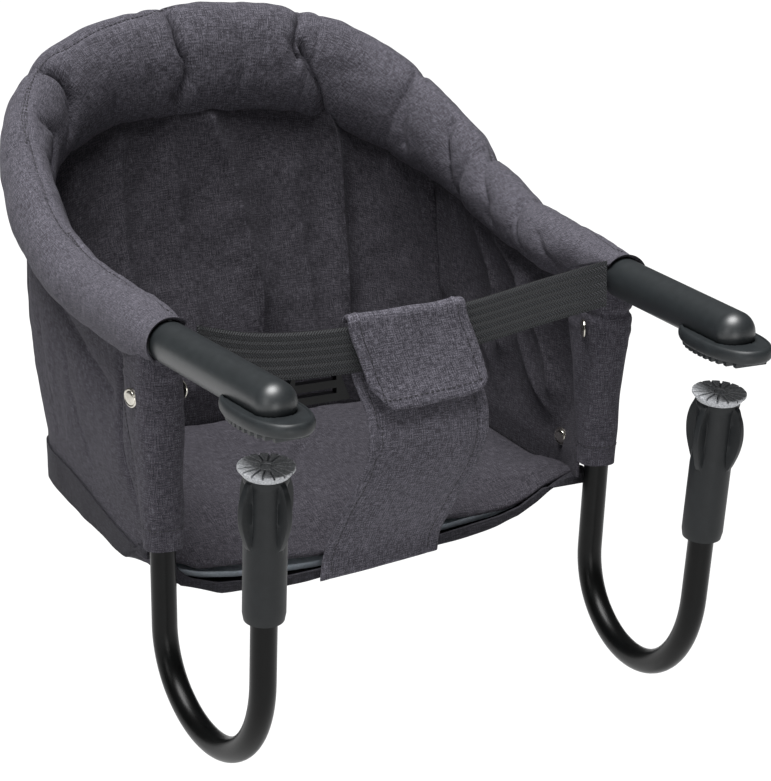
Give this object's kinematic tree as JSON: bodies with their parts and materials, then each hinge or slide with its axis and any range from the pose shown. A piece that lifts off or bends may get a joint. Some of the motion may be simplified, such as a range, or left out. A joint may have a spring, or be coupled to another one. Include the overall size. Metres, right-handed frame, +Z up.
{
  "type": "hook-on table chair",
  "caption": "Fabric tub seat for a small child that hangs from a table edge on padded arms and screw-clamped steel hooks.",
  "frame": {"origin": "on the table top, midway between the soles of the arm pads", "axes": "+X to the seat's right as seen from the table, +Y from the table towards the seat back, +Z up"},
  "size_m": [0.357, 0.5132, 0.3947],
  "materials": {
    "slate_plastic": "satin slate grey",
    "pad_rubber": "satin grey rubber",
    "disc_rubber": "matt mid grey, speckled",
    "black_steel": "gloss black powder coat",
    "bright_steel": "plain steel",
    "snap_steel": "polished, slightly aged",
    "melange_cloth": "dark grey melange polyester weave",
    "black_webbing": "coarse chevron webbing",
    "black_plastic": "gloss black",
    "grey_board": "smooth pale grey"
  },
  "bodies": {
    "seat_frame": {"bent_loop_tube": "bright_steel", "arm_sleeve_left": "slate_plastic", "arm_pad_left": "pad_rubber", "leg_socket_left": "bright_steel", "leg_sleeve_left": "melange_cloth", "snap_outer_left": "snap_steel", "snap_inner_left": "snap_steel", "snap_lower_left": "snap_steel", "arm_sleeve_right": "slate_plastic", "arm_pad_right": "pad_rubber", "leg_socket_right": "bright_steel", "leg_sleeve_right": "melange_cloth", "snap_outer_right": "snap_steel", "snap_inner_right": "snap_steel", "snap_lower_right": "snap_steel", "rim_sleeve": "melange_cloth", "side_panel_left": "melange_cloth", "side_panel_right": "melange_cloth", "back_panel": "melange_cloth", "base_pocket": "melange_cloth", "seat_board": "grey_board", "seat_pad": "melange_cloth", "crotch_strip": "melange_cloth", "waist_strap": "black_webbing", "strap_buckle": "black_plastic", "buckle_web": "black_webbing"},
    "flap": {"crotch_flap": "melange_cloth"},
    "hook_left": {"hook_tube_left": "black_steel", "hook_head_left": "bright_steel", "hook_collar_left": "slate_plastic", "leg_nut_left": "bright_steel"},
    "clamp_left": {"pressure_disc_left": "disc_rubber", "disc_screw_left": "disc_rubber"},
    "knob_left": {"clamp_knob_left": "slate_plastic", "clamp_spindle_left": "bright_steel"},
    "hook_right": {"hook_tube_right": "black_steel", "hook_head_right": "bright_steel", "hook_collar_right": "slate_plastic", "leg_nut_right": "bright_steel"},
    "clamp_right": {"pressure_disc_right": "disc_rubber", "disc_screw_right": "disc_rubber"},
    "knob_right": {"clamp_knob_right": "slate_plastic", "clamp_spindle_right": "bright_steel"}
  },
  "joints": [
    {"name": "flap_hinge", "type": "hinge", "parent": "seat_frame", "child": "flap", "pos_m": [0.006, 0.1428, 0.0078], "axis": [-1, 0, 0], "range_deg": [0, 100]},
    {"name": "hook_fold_left", "type": "hinge", "parent": "seat_frame", "child": "hook_left", "pos_m": [-0.15696, 0.1417, 0.016], "axis": [0.0228, 0.0744, -0.997], "range_deg": [0, 66]},
    {"name": "clamp_lift_left", "type": "slide", "parent": "hook_left", "child": "clamp_left", "axis": [-0.0204, -0.1247, 0.992], "range_m": [-0.0201, 0.0141]},
    {"name": "knob_turn_left", "type": "hinge", "parent": "clamp_left", "child": "knob_left", "pos_m": [-0.14972, 0.00225, -0.02435], "axis": [-0.0204, -0.1247, 0.992], "range_deg": [-1800, 1260]},
    {"name": "hook_fold_right", "type": "hinge", "parent": "seat_frame", "child": "hook_right", "pos_m": [0.15696, 0.1417, 0.016], "axis": [0.0228, -0.0744, 0.997], "range_deg": [0, 66]},
    {"name": "clamp_lift_right", "type": "slide", "parent": "hook_right", "child": "clamp_right", "axis": [0.0204, -0.1247, 0.992], "range_m": [-0.0201, 0.0141]},
    {"name": "knob_turn_right", "type": "hinge", "parent": "clamp_right", "child": "knob_right", "pos_m": [0.14972, 0.00225, -0.02435], "axis": [0.0204, -0.1247, 0.992], "range_deg": [-1800, 1260]}
  ],
  "couplings": [
    {"joint": "clamp_lift_left", "follows": "knob_turn_left", "m_per_rad": 0.00063662},
    {"joint": "clamp_lift_right", "follows": "knob_turn_right", "m_per_rad": 0.00063662}
  ]
}
